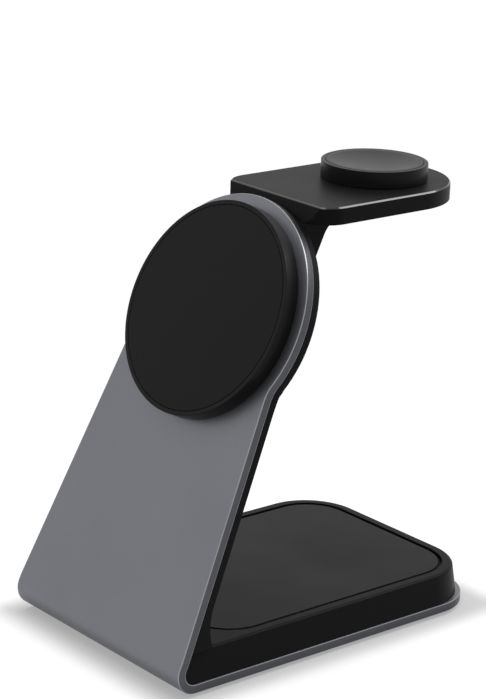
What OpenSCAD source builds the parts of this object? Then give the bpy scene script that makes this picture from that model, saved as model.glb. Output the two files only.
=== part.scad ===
// Charging station: a folded aluminium stand with a round charging head,
// a charging base behind it and a charging arm at the back.
// X is to the right, Y to the back and Z up, in millimetres.

/* [Folded sheet] */
// Width of the base plate and of the foot of the panel
sheet_w = 68; // [62:1:90]
// Thickness of the sheet
sheet_t = 2.4; // [2:0.1:3]
// Outside radius of the front bend
bend_r = 5.5; // [4.5:0.1:7]
// Lean of the panel, in degrees above the table
lean = 65; // [60:1:70]
// Depth of the base plate, from the front of the bend
base_d = 104; // [96:1:130]
// Radius of the plate's rear corners
corner_r = 14; // [12:0.5:18]
// Angle by which each side of the panel closes in
side_angle = 5.2; // [3:0.1:6]
// Distance up the panel from the bend to the middle of the head
head_up = 83.5; // [78:0.5:102]
// Radius of the round head
head_r = 31; // [30:0.5:38]
// Radius of the hollow where the neck meets the head
neck_fillet_r = 8; // [4:0.5:12]
// Radius of the lead hole in the middle of the head
lead_hole_r = 4; // [3:0.5:5]

/* [Foot mat] */
// Thickness of the silicone mat under the plate
mat_t = 1; // [0.6:0.1:2]
// Distance of the mat from the plate's edges
mat_inset = 4; // [3:0.5:8]

/* [Base housing] */
// Height of the housing above the plate
housing_h = 8; // [8:0.1:12]
// Ledge of plate left beside the foot of the housing
housing_step = 0.3; // [0.2:0.1:2]
// Lean of the housing's walls from foot to top
housing_draft = 1.1; // [0.4:0.1:1.4]
// Radius from which the housing's rear corners are drawn, larger than the plate's
housing_r = 16.7; // [14:0.1:20]
// Thickness of the housing's walls
housing_wall = 1.6; // [1.2:0.1:2]
// Thickness of the floor under the pad
floor_t = 1.2; // [1:0.1:1.4]
// Rounding of the housing's top edge
top_round = 1; // [0.5:0.1:1.5]
// Width of the rim round the pad
rim_w = 2.9; // [2:0.1:5]
// How far the pad lies below the rim
pad_drop = 0.8; // [0.4:0.1:1]
// Thickness of the pad
pad_t = 1; // [0.6:0.1:1.2]

/* [Back cover] */
// Depth of the cover behind the sheet
cover_d = 6; // [6:0.1:9]
// Depth of the cover's square-cut edge
cover_rim = 2.2; // [1.5:0.1:3]
// Width of the bevel round the cover's back
cover_bevel = 4.5; // [3:0.1:5.5]
// Radius of the hollow in which the bevel runs out at the foot of the neck
runout_r = 14; // [8:1:20]
// Thickness of the cover's back wall
cover_wall = 1.6; // [1.4:0.1:2]
// Thickness of the cover's side walls at the sheet
cover_side = 6; // [5:0.5:7]
// Width of the tongue that holds the cover in the housing
tongue_w = 22; // [16:1:30]
// Depth to which the tongue enters the housing
tongue_drop = 3; // [2:0.1:3.6]

/* [Front pad] */
// Radius of the round pad
pad_r = 28; // [27.8:0.1:29]
// How far the pad stands out from the sheet
pad_h = 4.2; // [4.2:0.1:6]
// Thickness of the pad's soft face
face_t = 1; // [0.6:0.1:1]
// Middle radius of the ring of magnets
ring_r = 24.3; // [24.2:0.1:24.5]
// Width of the ring of magnets
ring_w = 4.6; // [3.5:0.1:4.6]
// Magnets in each quarter of the ring
magnets = 4; // [2:1:6]

/* [Arm] */
// Width of the arm
arm_w = 40; // [40:1:50]
// Thickness of the arm
arm_t = 4.5; // [4.5:0.1:7]
// Height of the arm's top above the head's top edge
arm_rise = 1; // [0:0.5:3]
// Distance from the arm's front edge to the middle of the puck
arm_reach = 34; // [33:1:44]
// Rounding of the arm's two front corners
arm_round = 8; // [4:1:12]
// Width of the leg that carries the arm on the back cover
leg_w = 24; // [22:1:30]
// Thickness of the leg
leg_t = 6; // [5.6:0.1:8]
// Radius of the hollow between the leg and the arm
under_r = 8; // [3:0.5:9]
// Thickness of the arm's top wall
arm_wall = 1.3; // [1:0.1:1.3]
// Thickness of the arm's side walls
arm_side = 1.5; // [1.2:0.1:1.6]
// Thickness of the plate that closes the arm from below
arm_plate_t = 1.2; // [0.9:0.1:1.2]

/* [Puck] */
// Radius of the charging puck on the arm
puck_r = 14; // [13.6:0.1:15]
// Height of the puck above the arm
puck_h = 4.5; // [4.5:0.1:7]
// Thickness of the puck's face
puck_face_t = 1.2; // [1:0.1:1.2]
// Depth of the hollow in the puck's face
dish = 0.7; // [0.3:0.1:0.8]

/* [Electrics] */
// Outer radius of the base coil
base_coil_r = 21; // [16:0.5:22]
// Outer radius of the front coil
front_coil_r = 20; // [16:0.5:20]
// Outer radius of the puck coil
puck_coil_r = 11; // [9:0.5:11]
// Diameter of one strand of a winding
strand = 1.1; // [0.8:0.1:1.1]
// Thickness of the circuit boards
board_t = 1; // [0.8:0.1:1]
// Width of the flat cable in the neck
ribbon_w = 8; // [6:0.5:9]
// Width of the flat cable in the arm
arm_ribbon_w = 6; // [4:0.5:7]
// Thickness of the flat cables
ribbon_t = 0.4; // [0.3:0.1:0.4]

/* [Fasteners] */
// Shank radius of the screws that hold the base
base_screw_r = 1.25; // [1:0.05:1.4]
// Shank radius of the screws that hold the head and the arm
screw_r = 1; // [0.8:0.05:1.05]
// Shank radius of the finest screws
fine_screw_r = 0.7; // [0.6:0.05:0.75]
// Clearance between pieces that fit together
gap = 0.1; // [0.05:0.05:0.1]

/* [Hidden] */
$fn = 96;

far = 200;                          // past the model in every direction
skim = 0.002;                       // what the fold's rolling takes off each face of the panel
plate_z = mat_t + sheet_t;          // top of the base plate
bend_z = mat_t + bend_r;            // height of the bend's centre
bend_in = bend_r - sheet_t;         // inside radius of the bend
foot_y = bend_r * (1 - sin(lean));  // where the outside of the bend turns into the panel
foot_z = mat_t + bend_r * (1 + cos(lean));

// Place in the side view of a point v up the panel and h in front of its face
function side_y(v, h) = foot_y + v * cos(lean) - h * sin(lean);
function side_z(v, h) = foot_z + v * sin(lean) + h * cos(lean);
function side_point(v, h) = [side_y(v, h), side_z(v, h)];
// Distance up the panel at which the plane h stands at height z
function up_at(z, h) = (z - foot_z - h * cos(lean)) / sin(lean);

taper_from = 1.5;                   // distance up the panel at which its sides begin to close in
neck_half = sheet_w / 2 + taper_from * tan(side_angle);
back = -sheet_t;                    // rear face of the panel
rim_back = back - cover_rim;        // rear face of the cover's edge
cover_back = back - cover_d;        // rear face of the cover
cover_in = cover_back + cover_wall; // inside of the cover's back wall

// Base housing and what it holds
housing_z = plate_z + housing_h;
pad_floor = housing_z - pad_drop - pad_t;
room_z = pad_floor - floor_t;       // ceiling of the room inside the base
top_step = housing_step + housing_draft;
pad_step = top_step + rim_w;        // from the plate's edge to the pocket of the pad
pad_front = side_y(up_at(housing_z, cover_back), cover_back) + 5;
pad_mid = (pad_front + base_d - pad_step) / 2;
room_step = top_step + housing_wall;
room_front = pad_front + 2;
post_r = 2.2;                       // posts for the small screws
bore_end = 0.4;                     // floor left at the end of a blind bore

boss_r = 3;                         // bosses for the base's screws
boss_x = sheet_w / 2 - 9;
boss_y = [pad_front + 8, base_d - housing_r];
base_screw_len = room_z - mat_t - 1;
fine_head_h = 0.9;                  // heads of the finest screws

tray_t = 1;
ferrite_t = 0.6;
tray_z = room_z - gap - strand - ferrite_t - tray_t;
tray_r = base_coil_r + 3;
ear_r = tray_r + 3.2;               // circle on which the tray's screws lie
ear_turns = [0, 180, 270];

board_z = plate_z + 1.4;            // underside of the main board
board_back = base_d - room_step - 3 * gap;
board_w = 40;
board_d = 14;
board_screw_x = 15;
board_screw_y = board_back - 11;
chip_t = 0.9;

socket_w = 8.94;
socket_h = 3.2;
socket_len = 7.3;
socket_wall = 0.3;
socket_end = 1.2;                   // closed end of the socket
contact_w = 6.7;                    // tongue that carries the contacts
contact_t = 0.7;
contact_back = 1;                   // how far the tongue ends inside the mouth
socket_mid = board_z + 0.3 + socket_h / 2;
socket_mouth = base_d - top_step - gap;

// Back cover, front pad and what they hold
tongue_front = back - 0.8;
tongue_back = tongue_front - 1.6;
tongue_foot = up_at(housing_z, back) - tongue_drop;
cover_room_foot = up_at(housing_z, cover_back) + 3;
rib_pitch = 18;
rib_t = 1.2;
boss_turns = [45, 135, 225, 315];
cover_boss_r = 2.8;
slab_t = 1.2;                       // floor of the pad's body
ring_wall = 0.8;                    // wall between the coil's room and the ring's groove
pad_edge = 1.2;                     // edge of the pad's body round its face
pad_boss_r = 3;
head_h = 1.2;                       // heads of the head and arm screws
head_screw_r = 1.9;
head_screw_len = slab_t - cover_back - 1.2;
backing_t = 0.5;
magnet_t = 1.4;
head_board_r = 19;
board_up = head_up + 7.5;           // where the head board is cut off
board_front = cover_in + 1.2 + board_t;
head_post = [13, head_up - 6];
arm_screw_at = [8, head_up + 14.5];
arm_slot_up = head_up + 12.5;       // where the arm's cable leaves the cover
cable_way = 1.8;                    // height of the slots that a flat cable passes through

// Arm and puck
arm_top = side_z(head_up + head_r, back) + arm_rise;
arm_z = arm_top - arm_t;
arm_room_z = arm_top - arm_wall;
arm_front = side_y(up_at(arm_top, rim_back - gap), rim_back - gap);
arm_start = arm_front - arm_t / tan(lean) - gap;
puck_y = arm_front + arm_reach;
leg_front = cover_back - gap;
leg_back = leg_front - leg_t;
leg_foot = head_up + 2.5;           // lower end of the leg
leg_round = 6;
corner_y = side_y(up_at(arm_z, leg_back), leg_back);
under_len = under_r * tan(lean / 2);
arm_room_front = corner_y + under_len + 0.6;
groove_w = arm_ribbon_w + 2;
groove_d = 3;
arm_posts = [[arm_w / 2 - 5, puck_y - 13.5], [arm_w / 2 - 8, puck_y + 11]];
arm_cable_z = arm_room_z - cable_way / 2;
spigot_r = puck_r - 1.6;
puck_floor = 1;
puck_wall = 1.2;
puck_ferrite_t = 0.5;
puck_hole_r = 3;

overall_d = max(base_d, puck_y + arm_w / 2);

module in_frame() translate([0, -overall_d / 2, 0]) children();
module on_panel() in_frame() translate([0, foot_y, foot_z]) rotate([lean, 0, 0]) children();
module on_head() on_panel() translate([0, head_up, 0]) children();
module on_puck(z) in_frame() translate([0, puck_y, z]) children();

module both_sides() {
    children();
    mirror([1, 0, 0]) children();
}

// The same thing at x and at -x
module pair(x, y) for (s = [-1, 1]) translate([s * x, y]) children();

// An outline drawn in the side view, with Y across and Z up, made w wide
module side_view(w) in_frame() rotate([90, 0, 90]) linear_extrude(w, center = true) children();

module disc(r, t) cylinder(r = r, h = t);

module washer(r, hole, t) difference() {
    disc(r, t);
    translate([0, 0, -1]) disc(hole, t + 2);
}

// Round-ended slot, w long and h high
module slot_outline(w, h) {
    square([w - h, h], center = true);
    pair((w - h) / 2, 0) circle(h / 2);
}

// Screw along Z with its tip down and the underside of its head at z = 0
module screw(r, len, wide, high) difference() {
    union() {
        translate([0, 0, -len]) disc(r, len + high / 2);
        disc(wide, high);
    }
    translate([0, 0, high / 2]) cylinder(r = r * 0.8, h = high, $fn = 6);
}

// Countersunk screw along Z with its tip down and the top of its head at z = 0
module flat_screw(r, len) difference() {
    union() {
        translate([0, 0, -len]) disc(r, len);
        translate([0, 0, -r]) cylinder(r1 = r, r2 = 2 * r, h = r);
    }
    translate([0, 0, -r * 0.6]) cylinder(r = r * 0.8, h = r, $fn = 6);
}

// The hole that a countersunk screw passes through, from its head at z = 0
module flat_screw_hole(r) {
    translate([0, 0, -sheet_t - 1]) disc(r + gap, sheet_t + 2);
    translate([0, 0, -r - gap]) cylinder(r1 = r, r2 = 2 * r + 2 * gap, h = r + 2 * gap);
}

// Flat winding of round strands side by side
module winding(inner, outer) {
    turns = floor((outer - inner) / strand);
    rotate_extrude() {
        for (i = [0 : turns - 1])
            translate([outer - strand * (i + 0.5), strand / 2]) circle(strand / 2, $fn = 24);
        translate([outer - strand * (turns - 0.5), strand * 0.3])
            square([strand * (turns - 1), strand * 0.4]);
    }
}

// Direction across a path at its point i, long enough to keep a ribbon's thickness at a corner
function across(p, i) = let (
    last = len(p) - 1,
    a = p[min(i, last - 1) + 1] - p[min(i, last - 1)],
    b = p[max(i, 1)] - p[max(i, 1) - 1],
    m = [-a[1], a[0]] / norm(a),
    n = [-b[1], b[0]] / norm(b)
) (m + n) / (1 + m * n);

// Flat cable w wide along points in the side view
module ribbon(p, w) side_view(w) polygon(concat(
    [for (i = [0 : len(p) - 1]) p[i] - across(p, i) * ribbon_t / 2],
    [for (i = [len(p) - 1 : -1 : 0]) p[i] + across(p, i) * ribbon_t / 2]));

// Outline of the plate from y = front, with its two rear corners rounded from the radius big
module plate_outline(inset, front, big) {
    r = big - inset;
    half = sheet_w / 2 - inset;
    translate([-half, front]) square([2 * half, base_d - big - front]);
    translate([r - half, front]) square([2 * (half - r), base_d - inset - front]);
    pair(half - r, base_d - big) circle(r);
}

// The same outline with its front corners rounded too
module pad_outline(inset, front, big) {
    r = big - inset;
    half = sheet_w / 2 - inset;
    plate_outline(inset, front + r, big);
    translate([r - half, front]) square([2 * (half - r), 2 * r]);
    pair(half - r, front + r) circle(r);
}

// Outline of the panel: a neck that closes in, a hollow on each side and a round head
module panel_outline(inset, low) {
    r = head_r - inset;
    hollow = neck_fillet_r + inset;
    half = neck_half - inset / cos(side_angle);
    // centre of the hollow, out from the head's middle and down beside the neck
    out = neck_half * cos(side_angle) + neck_fillet_r - head_up * sin(side_angle);
    down = sqrt(pow(head_r + neck_fillet_r, 2) - out * out);
    away = [cos(side_angle), sin(side_angle)];
    mid = [0, head_up] + out * away + down * [away[1], -away[0]];
    on_neck = mid - hollow * away;
    on_round = [0, head_up] + (mid - [0, head_up]) * r / (r + hollow);
    foot = half - low * tan(side_angle);
    difference() {
        union() {
            translate([0, head_up]) circle(r);
            polygon([[-foot, low], [foot, low], on_neck, on_round, [0, head_up],
                [-on_round[0], on_round[1]], [-on_neck[0], on_neck[1]]]);
        }
        pair(mid[0], mid[1]) circle(hollow);
    }
}

module base_screw_spots() in_frame()
    both_sides() for (y = boss_y) translate([boss_x, y, mat_t]) children();

module tray_spots() in_frame() translate([0, pad_mid, 0])
    for (a = ear_turns) rotate(a) translate([ear_r, 0, 0]) children();

module board_spots() in_frame()
    both_sides() translate([board_screw_x, board_screw_y, 0]) children();

module head_spots() on_head() for (a = boss_turns) rotate(a) translate([ring_r, 0, 0]) children();

module head_post_spots() on_panel() both_sides() translate([head_post[0], head_post[1], 0]) children();

module arm_screw_spots() on_panel()
    both_sides() translate([arm_screw_at[0], arm_screw_at[1], 0]) children();

module arm_post_spots() in_frame()
    both_sides() for (p = arm_posts) translate([p[0], p[1], arm_z]) children();

// The folded sheet in section: plate, bend and panel
module sheet_section() {
    translate([bend_r, mat_t]) square([base_d - bend_r, sheet_t]);
    polygon([side_point(0, back + skim), side_point(far, back + skim), side_point(far, -skim),
        side_point(0, -skim)]);
    difference() {
        translate([bend_r, bend_z]) circle(bend_r);
        translate([bend_r, bend_z]) circle(bend_in);
        polygon([side_point(far, back + skim), side_point(0, back + skim), [bend_r, bend_z],
            [bend_r, plate_z], [far, plate_z]]);
    }
}

module stand_sheet() color("#6e7074") difference() {
    side_view(sheet_w) sheet_section();
    on_panel() translate([0, 0, back - 1]) linear_extrude(sheet_t + 2) difference() {
        translate([-far, -1]) square(2 * far);
        panel_outline(0, -2);
    }
    in_frame() translate([0, base_d - corner_r, 0]) linear_extrude(plate_z + 1) difference() {
        translate([-far, 0]) square([2 * far, far]);
        translate([0, corner_r - base_d]) plate_outline(0, bend_r, corner_r);
    }
    base_screw_spots() mirror([0, 0, 1]) flat_screw_hole(base_screw_r);
    on_head() translate([0, 0, back - 1]) disc(lead_hole_r, sheet_t + 2);
    head_spots() translate([0, 0, back - 1]) disc(screw_r + 2 * gap, sheet_t + 2);
}

module foot_mat() color("#1c1c1d") in_frame()
    linear_extrude(mat_t) pad_outline(mat_inset, bend_r + mat_inset, corner_r);

// The housing in section, from its middle out to its drafted wall
module housing_section(reach) {
    top = reach - top_step;
    polygon([[0, plate_z], [reach - housing_step, plate_z], [top, housing_z - top_round],
        [top - top_round, housing_z], [0, housing_z]]);
    translate([top - top_round, housing_z - top_round]) circle(top_round);
}

// Outside of the housing, swept round the rear of the plate and cut off behind the panel
module housing_outside() intersection() {
    in_frame() union() {
        translate([0, base_d - housing_r, 0]) rotate([90, 0, 0]) both_sides() linear_extrude(base_d)
            housing_section(sheet_w / 2);
        rotate([90, 0, 90]) linear_extrude(sheet_w - 2 * housing_r, center = true)
            housing_section(base_d);
        both_sides() translate([sheet_w / 2 - housing_r, base_d - housing_r, 0])
            rotate_extrude() housing_section(housing_r);
    }
    side_view(far) {
        translate([bend_r, bend_z]) circle(bend_in - gap);
        polygon([[bend_r, bend_z - bend_in + gap], [bend_r + 0.5, plate_z], [far, plate_z], [far, far],
            side_point(far, back - gap), side_point(0, back - gap), [bend_r, bend_z]]);
    }
}

module housing_posts() intersection() {
    union() {
        base_screw_spots() disc(boss_r, far);
        tray_spots() translate([0, 0, tray_z + tray_t]) disc(post_r, far);
        board_spots() translate([0, 0, board_z + board_t]) disc(post_r, far);
    }
    in_frame() translate([-far, 0, plate_z]) cube([2 * far, far, room_z - plate_z]);
}

module base_housing() color("#171718") {
    difference() {
        housing_outside();
        // room inside the base
        in_frame() translate([0, 0, plate_z - 1]) linear_extrude(room_z - plate_z + 1)
            plate_outline(room_step, room_front, housing_r);
        // pocket for the pad
        in_frame() translate([0, 0, pad_floor]) linear_extrude(far)
            pad_outline(pad_step, pad_front, housing_r);
        // slot for the tongue of the back cover
        on_panel() translate([-tongue_w / 2 - 2 * gap, tongue_foot - 2 * gap, tongue_back - 2 * gap])
            cube([tongue_w + 4 * gap, far, back - tongue_back + 4 * gap]);
        // way for the flat cable
        on_panel() translate([-ribbon_w / 2 - 1, -2 * bend_r, tongue_back - 2 * gap])
            cube([ribbon_w + 2, far, back - tongue_back + 4 * gap]);
        in_frame() translate([-ribbon_w / 2 - 1, 0, plate_z - 1])
            cube([ribbon_w + 2, room_front + 1, 1 + 2 * (gap + ribbon_t) + 0.4]);
        // mouth of the socket
        in_frame() translate([0, base_d - room_step - 1, socket_mid]) rotate([90, 0, 0])
            translate([0, 0, -far]) linear_extrude(far) slot_outline(socket_w + 4 * gap, socket_h + 4 * gap);
    }
    difference() {
        housing_posts();
        base_screw_spots() disc(base_screw_r + gap / 2, base_screw_len + bore_end);
        tray_spots() translate([0, 0, tray_z]) disc(fine_screw_r + gap / 2, room_z - tray_z - bore_end);
        board_spots() translate([0, 0, board_z]) disc(fine_screw_r + gap / 2, room_z - board_z - bore_end);
    }
}

module base_pad() color("#1d1d1e") in_frame() translate([0, 0, pad_floor])
    linear_extrude(pad_t) pad_outline(pad_step + gap, pad_front + gap, housing_r);

module coil_tray() color("#3a3b3d") difference() {
    union() {
        in_frame() translate([0, pad_mid, tray_z]) {
            disc(tray_r, tray_t);
            for (a = ear_turns) rotate(a) translate([0, -post_r, 0]) cube([ear_r, 2 * post_r, tray_t]);
        }
        tray_spots() translate([0, 0, tray_z]) disc(post_r, tray_t);
    }
    in_frame() translate([0, pad_mid, 0]) disc(puck_hole_r, far);
    tray_spots() disc(fine_screw_r + gap, far);
}

module base_ferrite() color("#2b2b2e") in_frame() translate([0, pad_mid, tray_z + tray_t])
    washer(base_coil_r + 1, puck_hole_r, ferrite_t);

module base_coil() color("#b8713a") in_frame() translate([0, pad_mid, tray_z + tray_t + ferrite_t])
    winding(base_coil_r / 2.6, base_coil_r);

module main_board() color("#1f4a33") difference() {
    in_frame() translate([-board_w / 2, board_back - board_d, board_z]) cube([board_w, board_d, board_t]);
    in_frame() translate([-socket_w / 2 - 2 * gap, socket_mouth - socket_len - 2 * gap, 0])
        cube([socket_w + 4 * gap, far, far]);
    board_spots() disc(fine_screw_r + gap, far);
}

// A square component of one side length, from x and from the board's rear edge
module on_board(x, y, side, t) in_frame()
    translate([x - side / 2, board_back - y - side / 2, board_z + board_t]) cube([side, side, t]);

module main_chips() color("#26262a") {
    on_board(0, 10.6, 5, chip_t);
    on_board(7.6, 10.8, 4, chip_t);
    on_board(-12, 3.4, 3.5, chip_t);
}

module main_inductors() color("#4b4c50") {
    on_board(-7.6, 9.8, 5, 2.2);
    on_board(11.4, 4.2, 5, 2.2);
}

module in_socket() in_frame() translate([0, socket_mouth, socket_mid]) rotate([90, 0, 0]) children();

module usb_shell() color("#b9babc") in_socket() difference() {
    linear_extrude(socket_len) slot_outline(socket_w, socket_h);
    translate([0, 0, -1]) linear_extrude(socket_len - socket_end + 1)
        slot_outline(socket_w - 2 * socket_wall, socket_h - 2 * socket_wall);
}

module usb_tongue() color("#1a1a1b") in_socket()
    translate([-contact_w / 2, -contact_t / 2, contact_back])
        cube([contact_w, contact_t, socket_len - socket_end - contact_back]);

module base_screws() color("#8d8e90") base_screw_spots()
    mirror([0, 0, 1]) flat_screw(base_screw_r, base_screw_len);

module tray_screws() color("#8d8e90") tray_spots() translate([0, 0, tray_z]) mirror([0, 0, 1])
    screw(fine_screw_r, room_z - tray_z - 2 * bore_end, 2 * fine_screw_r, fine_head_h);

module board_screws() color("#8d8e90") board_spots() translate([0, 0, board_z]) mirror([0, 0, 1])
    screw(fine_screw_r, room_z - board_z - 2 * bore_end, 2 * fine_screw_r, fine_head_h);

// Half-space outside the bevel that runs up one side of the neck
module neck_bevel(grow) translate([neck_half - (gap - grow) / cos(side_angle), 0, rim_back - grow])
    rotate([0, 0, side_angle]) rotate([0, atan2(cover_bevel, cover_d - cover_rim), 0])
        translate([0, -far, -far]) cube([far, 2 * far, 2 * far]);

// Outside of the back cover above the housing, grown all round
module cover_outside(grow) {
    r = head_r - gap + grow;
    neck_low = 2 * bend_r;
    intersection() {
        on_panel() {
            translate([0, 0, rim_back - grow]) linear_extrude(cover_rim + grow)
                panel_outline(gap - grow, -neck_low);
            translate([0, head_up, cover_back - grow])
                cylinder(r1 = r - cover_bevel, r2 = r, h = cover_d - cover_rim);
            difference() {
                translate([0, 0, cover_back - grow]) linear_extrude(cover_d - cover_rim)
                    polygon([[-sheet_w, -neck_low], [sheet_w, -neck_low], [sheet_w, head_up - head_r],
                        [0, head_up], [-sheet_w, head_up - head_r]]);
                both_sides() neck_bevel(grow);
            }
        }
        in_frame() translate([-far, -far, housing_z + gap]) cube(2 * far);
    }
}

// Foot of the cover, in which the bevel runs out in a hollow
module cover_foot() intersection() {
    deep = cover_d - cover_rim;
    low = up_at(housing_z + gap, cover_back);
    rise = sqrt(2 * runout_r * deep - deep * deep);
    side_view(far) difference() {
        polygon([[side_y(low, cover_back + skim), housing_z + gap], side_point(low + rise, rim_back),
            side_point(low + rise, rim_back + 1), [side_y(low, rim_back), housing_z + gap]]);
        translate(side_point(low + rise, rim_back - runout_r)) circle(runout_r);
    }
    on_panel() translate([0, 0, cover_back]) linear_extrude(cover_d)
        panel_outline(gap + skim, 0);
}

module cover_room() on_panel() translate([0, 0, cover_in]) linear_extrude(back - cover_in)
    intersection() {
        panel_outline(cover_side, 0);
        translate([-far, cover_room_foot]) square(2 * far);
    }

module back_cover() color("#161617") difference() {
    union() {
        difference() {
            union() {
                cover_outside(0);
                cover_foot();
            }
            cover_room();
        }
        // ribs across the neck
        intersection() {
            cover_room();
            on_panel() for (v = [cover_room_foot + rib_pitch : rib_pitch : head_up - head_r])
                translate([-far, v, -far]) cube([2 * far, rib_t, 2 * far]);
        }
        intersection() {
            head_spots() translate([0, 0, cover_in]) disc(cover_boss_r, back - cover_in);
            on_head() translate([0, 0, cover_in]) disc(head_r - 2, far);
        }
        head_post_spots() translate([0, 0, cover_in - gap]) disc(1.9, board_front - board_t - cover_in + gap);
        on_panel() translate([-tongue_w / 2, tongue_foot, tongue_back])
            cube([tongue_w, cover_room_foot - tongue_foot, tongue_front - tongue_back]);
    }
    // way for the flat cable of the neck, along the sheet
    on_panel() translate([-ribbon_w / 2 - 1, -far, back - 0.8]) cube([ribbon_w + 2, far + head_up - 10, far]);
    head_spots() translate([0, 0, cover_back + 1]) disc(screw_r + gap / 2, far);
    head_post_spots() translate([0, 0, cover_back + 0.8]) disc(fine_screw_r + gap / 2, far);
    arm_screw_spots() translate([0, 0, cover_back - 1]) disc(screw_r + gap, cover_wall + 2);
    on_panel() translate([-arm_ribbon_w / 2 - 0.5, arm_slot_up - cable_way / 2, cover_back - 1])
        cube([arm_ribbon_w + 1, cable_way, cover_wall + 2]);
}

module pad_body() color("#1a1a1b") difference() {
    on_head() disc(pad_r, pad_h);
    on_head() {
        translate([0, 0, pad_h - face_t]) disc(pad_r - pad_edge, far);
        translate([0, 0, slab_t]) disc(ring_r - ring_w / 2 - gap - ring_wall, far);
        translate([0, 0, -1]) disc(lead_hole_r, far);
    }
    difference() {
        on_head() translate([0, 0, slab_t]) washer(ring_r + ring_w / 2 + gap, ring_r - ring_w / 2 - gap, pad_h);
        head_spots() disc(pad_boss_r, far);
    }
    head_spots() {
        translate([0, 0, -1]) disc(screw_r + gap, far);
        translate([0, 0, slab_t]) disc(head_screw_r + gap, far);
    }
}

module pad_face() color("#202022") on_head() translate([0, 0, pad_h - face_t])
    disc(pad_r - pad_edge - gap, face_t);

module ring_backing() color("#8d8e90") difference() {
    on_head() translate([0, 0, slab_t]) washer(ring_r + ring_w / 2, ring_r - ring_w / 2, backing_t);
    head_spots() disc(pad_boss_r + gap, far);
}

module ring_magnets() color("#a9abad") {
    post_turn = 2 * asin((pad_boss_r + 4 * gap) / (2 * ring_r));
    step = (90 - 2 * post_turn) / magnets;
    slit = 0.3;
    for (a = boss_turns, i = [0 : magnets - 1])
        on_head() rotate(a + post_turn + i * step) translate([0, 0, slab_t + backing_t])
            linear_extrude(magnet_t) intersection() {
                difference() {
                    circle(ring_r + ring_w / 2);
                    circle(ring_r - ring_w / 2);
                }
                polygon([[0, 0], far * [cos(slit), sin(slit)], far * [cos(step - slit), sin(step - slit)]]);
            }
}

module front_ferrite() color("#2b2b2e") on_head() translate([0, 0, slab_t])
    washer(front_coil_r + 0.8, puck_hole_r, ferrite_t);

module front_coil() color("#b8713a") on_head() translate([0, 0, slab_t + ferrite_t])
    winding(front_coil_r / 2.6, front_coil_r);

module head_screws() color("#8d8e90") head_spots() translate([0, 0, slab_t])
    screw(screw_r, head_screw_len, head_screw_r, head_h);

module head_board() color("#1f4a33") difference() {
    on_head() translate([0, 0, board_front - board_t]) disc(head_board_r, board_t);
    on_panel() translate([-far, board_up, -far]) cube([2 * far, far, 2 * far]);
    head_post_spots() translate([0, 0, -far]) disc(fine_screw_r + gap, 2 * far);
}

module head_chips() color("#26262a") on_head() for (c = [[-9, -1, 5], [8.5, 1.5, 4], [9.5, -12, 3]])
    translate([c[0] - c[2] / 2, c[1] - c[2] / 2, board_front]) cube([c[2], c[2], chip_t]);

module head_board_screws() color("#8d8e90") head_post_spots() translate([0, 0, board_front])
    screw(fine_screw_r, board_front - cover_back - 1, 2 * fine_screw_r, fine_head_h);

// The neck's flat cable lies on the sheet: along the plate, round the bend and up the panel
module neck_ribbon() color("#2a2a2d") {
    off = gap + ribbon_t / 2;
    r = bend_in - off;
    bends = 5;
    ribbon(concat([[board_back - 10, plate_z + off]],
        [for (i = [0 : bends]) let (a = 270 - i * (180 - lean) / bends) [bend_r + r * cos(a), bend_z + r * sin(a)]],
        [side_point(head_up - 15.5, back - off)]), ribbon_w);
}

module ribbon_sockets() color("#c9c9c4") {
    low = plate_z + gap + ribbon_t;
    in_frame() translate([-ribbon_w / 2 - 1, board_back - 13, low])
        cube([ribbon_w + 2, 3.5, board_z - low]);
    high = back - gap - ribbon_t;
    on_panel() translate([-ribbon_w / 2 - 1, head_up - 18, board_front])
        cube([ribbon_w + 2, 3.5, high - board_front]);
}

// Outline of the arm: rounded front corners and a round end about the puck
module arm_outline(inset) {
    half = arm_w / 2 - inset;
    r = arm_round - inset;
    front = arm_start + inset;
    translate([-half, front + r]) square([2 * half, puck_y - front - r]);
    translate([r - half, front]) square([2 * (half - r), 2 * r]);
    pair(half - r, front + r) circle(r);
    translate([0, puck_y]) circle(half);
}

module arm_room_outline(inset) intersection() {
    arm_outline(arm_side + inset);
    translate([-far, arm_room_front + inset]) square(2 * far);
}

// The leg lies on the cover's back and closes the wedge above the cover's bevel
module arm_leg() on_panel() translate([0, 0, leg_back]) linear_extrude(rim_back - gap - leg_back) {
    translate([-leg_w / 2, leg_foot + leg_round]) square([leg_w, far]);
    translate([leg_round - leg_w / 2, leg_foot]) square([leg_w - 2 * leg_round, far]);
    pair(leg_w / 2 - leg_round, leg_foot + leg_round) circle(leg_round);
}

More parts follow.
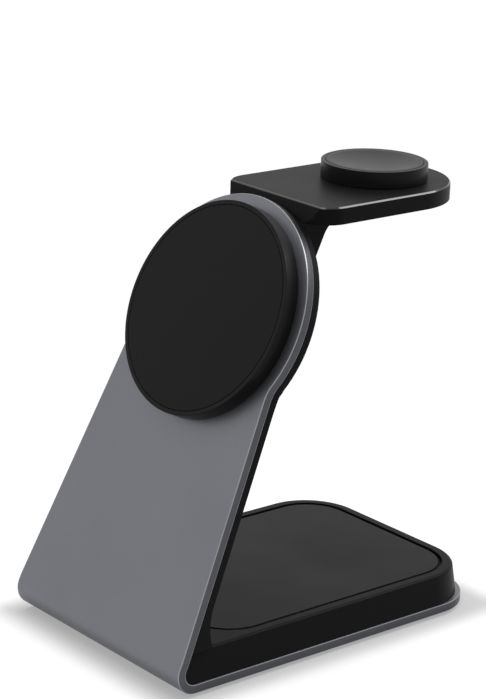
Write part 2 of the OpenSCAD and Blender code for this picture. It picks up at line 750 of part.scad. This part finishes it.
module arm_shell() color("#161617") difference() {
    union() {
        difference() {
            union() {
                in_frame() translate([0, 0, arm_z]) linear_extrude(arm_t) arm_outline(0);
                arm_leg();
                side_view(leg_w) difference() {
                    centre = [corner_y + under_len, arm_z - under_r];
                    polygon([[corner_y, arm_z], [corner_y - under_len * cos(lean), arm_z - under_len * sin(lean)],
                        centre, [centre[0], arm_z]]);
                    translate(centre) circle(under_r);
                }
            }
            cover_outside(gap);
            on_panel() translate([-far, -far, rim_back - gap]) cube(2 * far);
            in_frame() translate([-far, -far, arm_top]) cube(2 * far);
            in_frame() translate([0, 0, arm_z - 1]) linear_extrude(arm_room_z - arm_z + 1) arm_room_outline(0);
            // way for the arm's flat cable, from the cover's slot to the room
            side_view(groove_w) polygon([side_point(arm_slot_up - 2, cover_back),
                side_point(arm_slot_up - 2, cover_back - groove_d),
                side_point(up_at(arm_z + arm_plate_t, cover_back - groove_d), cover_back - groove_d),
                [arm_room_front + 1, arm_z + arm_plate_t], [arm_room_front + 1, arm_room_z],
                side_point(up_at(arm_room_z, cover_back), cover_back)]);
        }
        arm_post_spots() translate([0, 0, arm_plate_t]) disc(post_r - gap, arm_room_z - arm_z - arm_plate_t);
    }
    arm_post_spots() translate([0, 0, arm_plate_t]) disc(fine_screw_r + gap / 2, arm_room_z - arm_z - arm_plate_t + 0.5);
    on_puck(arm_room_z - 1) disc(spigot_r + gap, far);
    arm_screw_spots() translate([0, 0, cover_back - 5]) disc(screw_r + gap / 2, far);
}

module arm_plate() color("#1a1a1b") difference() {
    in_frame() translate([0, 0, arm_z]) linear_extrude(arm_plate_t) arm_room_outline(gap);
    arm_post_spots() mirror([0, 0, 1]) flat_screw_hole(fine_screw_r);
}

module arm_screws() color("#8d8e90") arm_screw_spots() translate([0, 0, cover_in])
    screw(screw_r, cover_wall + 4.5, head_screw_r, head_h);

module arm_plate_screws() color("#8d8e90") arm_post_spots() mirror([0, 0, 1])
    flat_screw(fine_screw_r, arm_room_z - arm_z + 0.2);

module arm_ribbon() color("#2a2a2d") {
    on_board_h = board_front + ribbon_t / 2;
    in_leg_h = leg_front - groove_d / 2;
    ribbon([side_point(board_up - 3, on_board_h), side_point(arm_slot_up, on_board_h),
        side_point(arm_slot_up, in_leg_h), side_point(up_at(arm_cable_z, in_leg_h), in_leg_h),
        [puck_y - 9, arm_cable_z]], arm_ribbon_w);
}

module puck_body() color("#1a1a1b") {
    on_puck(arm_top) difference() {
        disc(puck_r, puck_h);
        translate([0, 0, puck_floor]) disc(puck_r - puck_wall, far);
        translate([0, 0, -1]) disc(puck_hole_r, far);
    }
    on_puck(arm_room_z) washer(spigot_r, spigot_r - 1.4, arm_wall);
}

module puck_ferrite() color("#2b2b2e") on_puck(arm_top + puck_floor)
    washer(puck_coil_r + 1, puck_hole_r - 1, puck_ferrite_t);

module puck_coil() color("#b8713a") on_puck(arm_top + puck_floor + puck_ferrite_t)
    winding(puck_coil_r / 2, puck_coil_r);

module puck_magnet() color("#a9abad") on_puck(arm_top + puck_floor + puck_ferrite_t)
    disc(puck_coil_r / 2 - 0.6, puck_h - puck_face_t - puck_floor - puck_ferrite_t - gap);

module puck_face() color("#232325") on_puck(arm_top + puck_h - puck_face_t) rotate_extrude() {
    r = puck_r - puck_wall - gap;
    dish_r = r - 1;
    ball_r = (dish_r * dish_r + dish * dish) / (2 * dish);
    difference() {
        square([r, puck_face_t]);
        translate([0, puck_face_t - dish + ball_r]) circle(ball_r, $fn = 1440);
    }
}

stand_sheet();
foot_mat();
base_housing();
base_pad();
base_coil();
base_ferrite();
coil_tray();
main_board();
main_chips();
main_inductors();
usb_shell();
usb_tongue();
base_screws();
tray_screws();
board_screws();
back_cover();
pad_body();
pad_face();
ring_magnets();
ring_backing();
front_coil();
front_ferrite();
head_board();
head_chips();
head_screws();
head_board_screws();
neck_ribbon();
ribbon_sockets();
arm_shell();
arm_plate();
arm_screws();
arm_plate_screws();
arm_ribbon();
puck_body();
puck_face();
puck_coil();
puck_ferrite();
puck_magnet();
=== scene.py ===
"""Charging station: finishes, edges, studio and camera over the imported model."""
import math

import bmesh
import bpy
from mathutils import Matrix, Vector


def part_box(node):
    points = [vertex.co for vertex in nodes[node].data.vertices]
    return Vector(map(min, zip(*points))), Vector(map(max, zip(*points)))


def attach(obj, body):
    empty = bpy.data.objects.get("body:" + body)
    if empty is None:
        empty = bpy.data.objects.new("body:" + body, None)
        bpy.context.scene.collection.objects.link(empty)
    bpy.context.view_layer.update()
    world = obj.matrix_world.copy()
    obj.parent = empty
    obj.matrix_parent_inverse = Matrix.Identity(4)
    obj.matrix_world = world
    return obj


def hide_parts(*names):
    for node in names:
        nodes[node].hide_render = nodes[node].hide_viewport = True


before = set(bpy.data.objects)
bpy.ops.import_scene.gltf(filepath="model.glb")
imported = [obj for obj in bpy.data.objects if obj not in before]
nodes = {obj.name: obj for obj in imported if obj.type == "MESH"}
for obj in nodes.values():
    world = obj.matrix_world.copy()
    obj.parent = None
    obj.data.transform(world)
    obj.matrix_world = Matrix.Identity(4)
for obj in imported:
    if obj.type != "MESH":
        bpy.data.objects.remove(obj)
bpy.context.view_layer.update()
scene = bpy.context.scene
MM = 0.001

# Places and sizes below are in millimetres, and angles in degrees.
# The panel leans back; this direction points straight out of its front.
PANEL_LEAN = 65
ACROSS_PANEL = Vector((0, -math.sin(math.radians(PANEL_LEAN)), math.cos(math.radians(PANEL_LEAN))))
# The sheet's bend ends below this height, and its faces above it belong to the panel
BEND_TOP = 12
# A face belongs to the sheet's cut edge where it looks more than this much sideways, or no more
# than this much straight out of the sheet (1 is wholly)
SIDEWAYS, OUTWARD = 0.5, 0.3
# The cover is bevelled from this height up, and from this depth behind its front
COVER_BEVEL_FROM, COVER_FRONT_KEPT = 30, 1
# Front corner of the hollow at the cover's foot, and the square-cut edge it is drawn up to
FOOT_CORNER_Y, FOOT_CORNER_Z, FOOT_EDGE_Y = -46.448, 11.5, -47.197
# Only the edges round the arm's top are polished
ARM_TOP_FROM = 112.5
# Height of the visible base pad, and of the floor of its groove, above the CAD pad, whose bevel
# ends within PAD_EDGE of its top
PAD_RISE, GROOVE_FLOOR, PAD_EDGE = 0.7, -0.1, 0.3
# Width of the groove, draft of the pad's wall, and the steps inward and upward that round its edge
GROOVE_W, PAD_DRAFT, PAD_ROUNDING = 0.8, 0.01, ((0.04, 0.06), (0.10, 0.04))
# Points this close together count as one
SAME_POINT = 0.03
# Faces this little apart in angle are joined into one, edges sharper than BEVEL_OVER are taken
# off, and those sharper than CREASE_OVER shade as edges
FLAT_WITHIN, BEVEL_OVER, CREASE_OVER = 0.4, 28, 40


def linear(colour):
    """An sRGB hex colour as linear red, green, blue and alpha."""
    parts = [int(colour[i:i + 2], 16) / 255 for i in (1, 3, 5)]
    return [c / 12.92 if c <= 0.04045 else ((c + 0.055) / 1.055) ** 2.4 for c in parts] + [1.0]


WHITE = linear("#ffffff")


def add(tree, kind, inputs=None, **settings):
    """A shader node with its settings, and its inputs as values or as links from other nodes."""
    node = tree.nodes.new("ShaderNode" + kind)
    for key, value in settings.items():
        setattr(node, key, value)
    for key, value in (inputs or {}).items():
        if isinstance(value, bpy.types.NodeSocket):
            tree.links.new(value, node.inputs[key])
        else:
            node.inputs[key].default_value = value
    return node


def new_material(name):
    """An empty node material, its tree and its output."""
    material = bpy.data.materials.new(name)
    material.use_nodes = True
    tree = material.node_tree
    tree.nodes.clear()
    return material, tree, add(tree, "OutputMaterial")


def mixed_colour(tree, share, first, second):
    """A colour between two hex colours, by the share of the second; 6, 7 and 2 are Mix's colour sockets."""
    inputs = {0: share, 6: linear(first), 7: linear(second)}
    return add(tree, "Mix", inputs, data_type="RGBA").outputs[2]


def grained(name, dark, light, grain_mm, depth_mm, rough, metallic=0.0, patch_mm=25.0, **more):
    """A surface with a fine grain in its relief and a faint, wide change of shade and gloss.

    dark and light are the two shades it varies between, and rough the two ends of its roughness.
    """
    material, tree, out = new_material(name)
    place = add(tree, "TexCoord").outputs["Object"]
    grain = add(tree, "TexNoise", {"Vector": place, "Scale": 1 / (grain_mm * MM),
                                   "Detail": 2.0, "Roughness": 0.6}).outputs["Fac"]
    patch = add(tree, "TexNoise", {"Vector": place, "Scale": 1 / (patch_mm * MM),
                                   "Detail": 3.0}).outputs["Fac"]
    # The two noises together lie between about 0.6 and 1.4, and each alone between 0.3 and 0.7
    both = add(tree, "Math", {0: grain, 1: patch}, operation="ADD")
    shade = add(tree, "MapRange", {"Value": both.outputs[0], "From Min": 0.6, "From Max": 1.4})
    gloss = add(tree, "MapRange", {"Value": patch, "From Min": 0.3, "From Max": 0.7,
                                   "To Min": rough[0], "To Max": rough[1]})
    bump = add(tree, "Bump", {"Height": grain, "Distance": depth_mm * MM, "Strength": 1.0})
    colour = mixed_colour(tree, shade.outputs["Result"], dark, light)
    body = add(tree, "BsdfPrincipled", {"Base Color": colour, "Roughness": gloss.outputs["Result"],
                                        "Normal": bump.outputs["Normal"], "Metallic": metallic, **more})
    tree.links.new(body.outputs[0], out.inputs["Surface"])
    return material


# Anodised aluminium, bead-blasted before it was dyed: an even, satin grey without any
# direction, that takes broad soft highlights. The beads leave pits of about 0.1 mm,
# drawn here at 0.3 mm so that they show.
blasted_aluminium = grained("blasted_anodised_aluminium", "#727378", "#7a7b80", 0.3, 0.004,
                            (0.40, 0.46), metallic=1.0)
# The sheet's cut edge: slightly glossier than the blasted faces, and painted darker, as painted
# shade where its faces turn away from the light; a darker band round the sheet.
edge_shade_aluminium = grained("edge_shade_anodised_aluminium", "#4a4b4e", "#535458", 0.3, 0.003,
                           (0.34, 0.40), metallic=1.0)
# The same aluminium on the narrow bevel that takes off each arris: smoother, and painted brighter
# as a painted highlight, a fine pale line round every edge of the sheet.
arris_highlight_aluminium = grained("arris_highlight_anodised_aluminium", "#85868a", "#919296", 0.3, 0.001,
                        (0.28, 0.34), metallic=1.0)
# ABS moulded against a spark-eroded tool: deep black with a fine matt grain of about
# 0.15 mm, drawn at 0.25 mm, that breaks up its highlights.
moulded_abs = grained("moulded_black_abs", "#0c0c0d", "#101011", 0.25, 0.008, (0.40, 0.46),
                      **{"IOR": 1.53, "Specular IOR Level": 0.05})
# The same ABS where the tool was polished: the arm's narrow bevel, which catches the light as a line.
polished_abs = grained("polished_black_abs", "#0d0d0e", "#111112", 0.4, 0.0005, (0.12, 0.16),
                       **{"IOR": 1.53, "Specular IOR Level": 0.5})
# ABS from a finer tool, on the puck and the front pad's body: the same black with a closer skin
# that is a little glossier.
fine_abs = grained("fine_black_abs", "#0e0e0f", "#121213", 0.2, 0.003, (0.32, 0.38),
                   **{"IOR": 1.53, "Specular IOR Level": 0.1})
# Silicone rubber, pressed in a sand-blasted mould: softer and greyer than the ABS, with no
# clear highlight.
silicone = grained("pressed_silicone", "#0f0f10", "#131314", 0.35, 0.006, (0.44, 0.52),
                   **{"IOR": 1.41, "Specular IOR Level": 0.13})
# Enamelled copper wire: a warm red metal, a little browned by its varnish.
enamelled_copper = grained("enamelled_copper_wire", "#a9602f", "#bd7443", 0.4, 0.001, (0.28, 0.36),
                           metallic=1.0)
# Ferrite sheet, sintered: dull charcoal with a faint mineral grain.
sintered_ferrite = grained("sintered_ferrite", "#242427", "#2e2e31", 0.5, 0.006, (0.6, 0.7))
# Glass-fibre laminate under solder lacquer: smooth deep green.
lacquered_laminate = grained("lacquered_laminate", "#184029", "#1e4b31", 0.6, 0.002, (0.3, 0.36), IOR=1.5)
# Epoxy moulded round a chip: matt black with a sandy skin.
moulded_epoxy = grained("moulded_epoxy", "#222225", "#29292c", 0.2, 0.006, (0.5, 0.6))
# Steel with a nickel plating: pale, warm and bright.
nickel_plate = grained("nickel_plated_steel", "#a8a69f", "#b5b3ad", 0.4, 0.001, (0.2, 0.28), metallic=1.0)
# Steel with a zinc plating: cooler and cloudier than the nickel.
zinc_plate = grained("zinc_plated_steel", "#8b8d91", "#9b9da1", 0.5, 0.001, (0.3, 0.4), metallic=1.0,
                     patch_mm=3.0)
# Nylon in its own off-white, moulded: plain, with a soft gloss.
white_nylon = grained("moulded_white_nylon", "#c3c3be", "#cecec9", 0.4, 0.003, (0.45, 0.52))
# Polyimide film over copper tracks: thin, dark amber-brown and fairly glossy.
polyimide_film = grained("polyimide_film", "#241a12", "#2d2116", 1.5, 0.001, (0.3, 0.36), IOR=1.6)

FINISHES = {
    blasted_aluminium: ("stand_sheet",),
    moulded_abs: ("base_housing", "back_cover", "arm_shell", "arm_plate", "coil_tray"),
    fine_abs: ("pad_body", "puck_body", "puck_face"),
    silicone: ("foot_mat", "base_pad", "pad_face"),
    enamelled_copper: ("base_coil", "front_coil", "puck_coil"),
    sintered_ferrite: ("base_ferrite", "front_ferrite", "puck_ferrite"),
    lacquered_laminate: ("main_board", "head_board"),
    moulded_epoxy: ("main_chips", "main_inductors", "head_chips", "usb_tongue"),
    nickel_plate: ("usb_shell", "ring_magnets", "puck_magnet"),
    zinc_plate: ("base_screws", "tray_screws", "board_screws", "ring_backing", "head_screws",
                 "head_board_screws", "arm_screws", "arm_plate_screws"),
    white_nylon: ("ribbon_sockets",),
    polyimide_film: ("neck_ribbon", "arm_ribbon"),
}
for finish, names in FINISHES.items():
    for name in names:
        mesh = nodes[name].data
        mesh.materials.clear()
        mesh.materials.append(finish)


def add_finish(mesh, finish):
    """The slot that a further material takes on a mesh."""
    mesh.materials.append(finish)
    return len(mesh.materials) - 1


def softened(name, edge_mm, steps=2, edge_finish=None, where=None, joined_mm=0.02):
    """A copy of a CAD node that stands for it, with its sharp edges taken off by edge_mm.

    The copy's faces are joined up first, because the CAD mesh is split where its faces meet.
    where picks the edges by the place of their ends in millimetres; without it all are taken.
    """
    mesh = nodes[name].data.copy()
    mesh.name = name + "_shaped"
    work = bmesh.new()
    work.from_mesh(mesh)
    bmesh.ops.remove_doubles(work, verts=work.verts, dist=joined_mm * MM)
    bmesh.ops.dissolve_degenerate(work, edges=work.edges, dist=joined_mm * MM)
    bmesh.ops.dissolve_limit(work, angle_limit=math.radians(FLAT_WITHIN), verts=work.verts, edges=work.edges)
    sharp = [e for e in work.edges if len(e.link_faces) == 2
             and e.calc_face_angle(0) > math.radians(BEVEL_OVER)
             and (where is None or all(where(v.co / MM) for v in e.verts))]
    slot = add_finish(mesh, edge_finish) if edge_finish else -1
    bmesh.ops.bevel(work, geom=sharp, offset=edge_mm * MM, segments=steps, profile=0.5,
                    affect="EDGES", clamp_overlap=False, offset_type="OFFSET", miter_outer="ARC",
                    material=slot)
    for face in work.faces:
        face.smooth = True
    work.to_mesh(mesh)
    work.free()
    if "custom_normal" in mesh.attributes:
        mesh.attributes.remove(mesh.attributes["custom_normal"])
    mesh.set_sharp_from_angle(angle=math.radians(CREASE_OVER))
    piece = bpy.data.objects.new(name + "_shaped", mesh)
    scene.collection.objects.link(piece)
    weigh = piece.modifiers.new("even_normals", "WEIGHTED_NORMAL")
    weigh.keep_sharp = True
    weigh.weight = 90
    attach(piece, "root")
    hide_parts(name)
    return piece


def shape_sheet():
    """The sheet with its arrises painted pale as a highlight, and its cut edge painted darker as shade all
    round.

    A face of the cut edge stands across both the plate's and the panel's faces.
    """
    # The bevel round the sheet takes the brighter finish: a painted highlight along every arris.
    mesh = softened("stand_sheet", 0.22, 2, arris_highlight_aluminium).data
    shaded_edge_slot = add_finish(mesh, edge_shade_aluminium)
    for face in mesh.polygons:
        on_panel = face.center.z > BEND_TOP * MM
        turned = abs(face.normal.dot(ACROSS_PANEL)) if on_panel else abs(face.normal.z)
        at_end = turned < OUTWARD and (on_panel or face.center.y > 0)
        # Faces of the cut edge take the darker finish: painted shade for the sides turned from the light.
        if face.material_index == 0 and (abs(face.normal.x) > SIDEWAYS or at_end):
            face.material_index = shaded_edge_slot


def shape_cover():
    """The cover with a soft edge at its back; its front edges lie hidden against the panel.

    At its foot the hollow ends behind the cover's square-cut edge, and is drawn up to it here.
    """
    depths = [-ACROSS_PANEL.dot(v.co / MM) for v in nodes["back_cover"].data.vertices
              if v.co.z > COVER_BEVEL_FROM * MM]
    front = min(depths) + COVER_FRONT_KEPT
    cover = softened("back_cover", 0.15,
                     where=lambda p: p.z > COVER_BEVEL_FROM and -ACROSS_PANEL.dot(p) > front)
    for vert in cover.data.vertices:
        off_y, off_z = abs(vert.co.y / MM - FOOT_CORNER_Y), abs(vert.co.z / MM - FOOT_CORNER_Z)
        if max(off_y, off_z) < SAME_POINT:
            vert.co.y = FOOT_EDGE_Y * MM


def shape_base_pad():
    """The base pad raised to the rim's height, with a shallow groove round it."""
    pad = softened("base_pad", 0.1)
    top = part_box("base_pad")[1][2]
    work = bmesh.new()
    work.from_mesh(pad.data)
    raised = [f for f in work.faces
              if f.normal.z > 0.99 and f.calc_center_median().z > top - SAME_POINT * MM]
    for vert in work.verts:
        if vert.co.z > top - PAD_EDGE * MM:
            vert.co.z += GROOVE_FLOOR * MM
    wall = PAD_RISE - GROOVE_FLOOR - sum(upward for inward, upward in PAD_ROUNDING)
    for inward, upward in ((GROOVE_W, 0.0), (PAD_DRAFT, wall), *PAD_ROUNDING):
        bmesh.ops.inset_region(work, faces=raised, thickness=inward * MM, depth=upward * MM,
                               use_even_offset=True)
    work.to_mesh(pad.data)
    work.free()


shape_sheet()
softened("base_housing", 0.12)
shape_cover()
softened("arm_shell", 0.35, 1, polished_abs, where=lambda p: p.z > ARM_TOP_FROM)
softened("pad_body", 0.2)
softened("pad_face", 0.15)
softened("puck_body", 0.25)
shape_base_pad()

# Studio: a pale floor under soft white light. What the floor glows for the camera rises from
# GLOW_NEAR at the foot to GLOW_FAR at PAINTED_SHADOW_REACH, a painted contact shadow round the foot,
# and from FADE_FROM to FADE_TO it turns plain white, so that it runs into the backdrop.
# Distances are from the rectangle round the sheet.
GLOW_NEAR, GLOW_FAR, PAINTED_SHADOW_REACH = 0.34, 0.72, 9
FADE_FROM, FADE_TO = 12, 200
# The floor lies this little below the foot, so that the two don't share one plane
FLOOR_DROP = 0.02
FLOOR_HALF = 6000
# Strength of the plain light from all round, on the object
SKY_LIGHT = 0.6


def seen_directly(tree):
    """1 for the camera's own rays, reflections and rays through glass, and 0 for light on the object."""
    path = add(tree, "LightPath")
    seen = add(tree, "Math", {0: path.outputs["Is Camera Ray"], 1: path.outputs["Is Glossy Ray"]},
               operation="MAXIMUM")
    return add(tree, "Math", {0: seen.outputs[0], 1: path.outputs["Is Transmission Ray"]},
               operation="MAXIMUM").outputs[0]


def distance_from_foot(tree):
    """Distance on the floor from the rectangle round the sheet."""
    low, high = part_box("stand_sheet")
    middle = [(a + b) / 2 for a, b in zip(low, high)][:2] + [0]
    half = [(b - a) / 2 for a, b in zip(low, high)][:2] + [0]
    place = add(tree, "TexCoord").outputs["Object"]
    from_middle = add(tree, "VectorMath", {0: place, 1: middle}, operation="SUBTRACT")
    aside = add(tree, "VectorMath", {0: from_middle.outputs[0]}, operation="ABSOLUTE")
    past = add(tree, "VectorMath", {0: aside.outputs[0], 1: half}, operation="SUBTRACT")
    outside = add(tree, "VectorMath", {0: past.outputs[0], 1: (0, 0, 0)}, operation="MAXIMUM")
    return add(tree, "VectorMath", {0: outside.outputs[0]}, operation="LENGTH").outputs["Value"]


def floor_paint():
    """Pale matt paint that the camera sees almost white, with the object's real soft shadow on it and a
    painted contact shadow round the foot.
    """
    material, tree, out = new_material("pale_floor")
    away = distance_from_foot(tree)
    fade = add(tree, "MapRange", {"Value": away, "From Min": FADE_FROM * MM, "From Max": FADE_TO * MM},
               interpolation_type="SMOOTHSTEP")
    paint = add(tree, "BsdfDiffuse", {"Color": linear("#949494")})
    # The glow dims towards the foot: a painted contact shadow, added to the real shadow on the paint.
    contact_shadow_glow = add(tree, "MapRange", {"Value": away, "From Min": 0.0, "From Max": PAINTED_SHADOW_REACH * MM,
                                 "To Min": GLOW_NEAR, "To Max": GLOW_FAR},
              interpolation_type="SMOOTHSTEP")
    glow = add(tree, "Emission", {"Color": WHITE, "Strength": contact_shadow_glow.outputs["Result"]})
    white = add(tree, "Emission", {"Color": WHITE, "Strength": 1.0})
    lift = add(tree, "AddShader", {0: paint.outputs[0], 1: glow.outputs[0]})
    backdrop = add(tree, "MixShader", {0: fade.outputs["Result"], 1: lift.outputs[0], 2: white.outputs[0]})
    both = add(tree, "MixShader", {0: seen_directly(tree), 1: paint.outputs[0], 2: backdrop.outputs[0]})
    tree.links.new(both.outputs[0], out.inputs["Surface"])
    return material


def lay_floor():
    """A wide flat floor under the foot."""
    work = bmesh.new()
    bmesh.ops.create_grid(work, x_segments=1, y_segments=1, size=FLOOR_HALF * MM)
    mesh = bpy.data.meshes.new("floor")
    work.to_mesh(mesh)
    work.free()
    mesh.materials.append(floor_paint())
    floor = bpy.data.objects.new("floor", mesh)
    floor.location.z = -FLOOR_DROP * MM
    scene.collection.objects.link(floor)


def light_sky():
    """Plain light from all round, which the camera and reflections see as white."""
    world = bpy.data.worlds.new("studio")
    scene.world = world
    world.use_nodes = True
    tree = world.node_tree
    tree.nodes.clear()
    level = add(tree, "MapRange", {"Value": seen_directly(tree), "To Min": SKY_LIGHT, "To Max": 1.0})
    light = add(tree, "Background", {"Color": WHITE, "Strength": level.outputs["Result"]})
    add(tree, "OutputWorld", {"Surface": light.outputs[0]})


def soft_light(name, place, aim, size, watts):
    """A square soft box at place, turned to aim."""
    lamp = bpy.data.lights.new(name, "AREA")
    lamp.shape = "SQUARE"
    lamp.size = size * MM
    lamp.energy = watts
    holder = bpy.data.objects.new(name, lamp)
    scene.collection.objects.link(holder)
    holder.location = Vector(place) * MM
    holder.rotation_mode = "QUATERNION"
    holder.rotation_quaternion = (Vector(aim) - Vector(place)).to_track_quat("-Z", "Y")


lay_floor()
light_sky()
soft_light("overhead_box", (-120, -60, 620), (0, 0, 50), 520, 2.2)
soft_light("rear_box", (190, 420, 520), (0, 0, 60), 320, 2.0)

# Camera, from the measured place of the photograph's lens: how far round to the right of the
# front it stands, how far above the level, and how far it is tipped
AZIMUTH, HEIGHT, ROLL = 49.6, 17.48, -2.15
# The point it turns about, and the lens's place from there, sideways, upward and back
AIM = Vector((0, -4.035, 71))
EYE_RIGHT, EYE_UP, EYE_BACK = -3.38, 0.94, 607.43
# The lens's focal length and the photograph's height, in pixels of the photograph
FOCAL_PX, PHOTO_H_PX = 2371.86, 699
SENSOR = 36.0


def place_camera():
    """The camera at the photograph's angle, with its lens's field of view."""
    round_by, above, tipped = (math.radians(a) for a in (AZIMUTH, HEIGHT, ROLL))
    forward = Vector((-math.sin(round_by) * math.cos(above), math.cos(round_by) * math.cos(above),
                      -math.sin(above)))
    level_right = Vector((math.cos(round_by), math.sin(round_by), 0))
    level_up = level_right.cross(forward)
    right = math.cos(tipped) * level_right - math.sin(tipped) * level_up
    up = math.sin(tipped) * level_right + math.cos(tipped) * level_up
    eye = (AIM + EYE_RIGHT * right + EYE_UP * up - EYE_BACK * forward) * MM
    lens = bpy.data.cameras.new("camera")
    lens.sensor_width = SENSOR
    lens.lens = FOCAL_PX * SENSOR / PHOTO_H_PX
    lens.clip_start, lens.clip_end = 0.05, 20
    camera = bpy.data.objects.new("camera", lens)
    scene.collection.objects.link(camera)
    camera.matrix_world = Matrix.Translation(eye) @ Matrix((right, up, -forward)).transposed().to_4x4()
    scene.camera = camera


place_camera()
scene.view_settings.view_transform = "Standard"
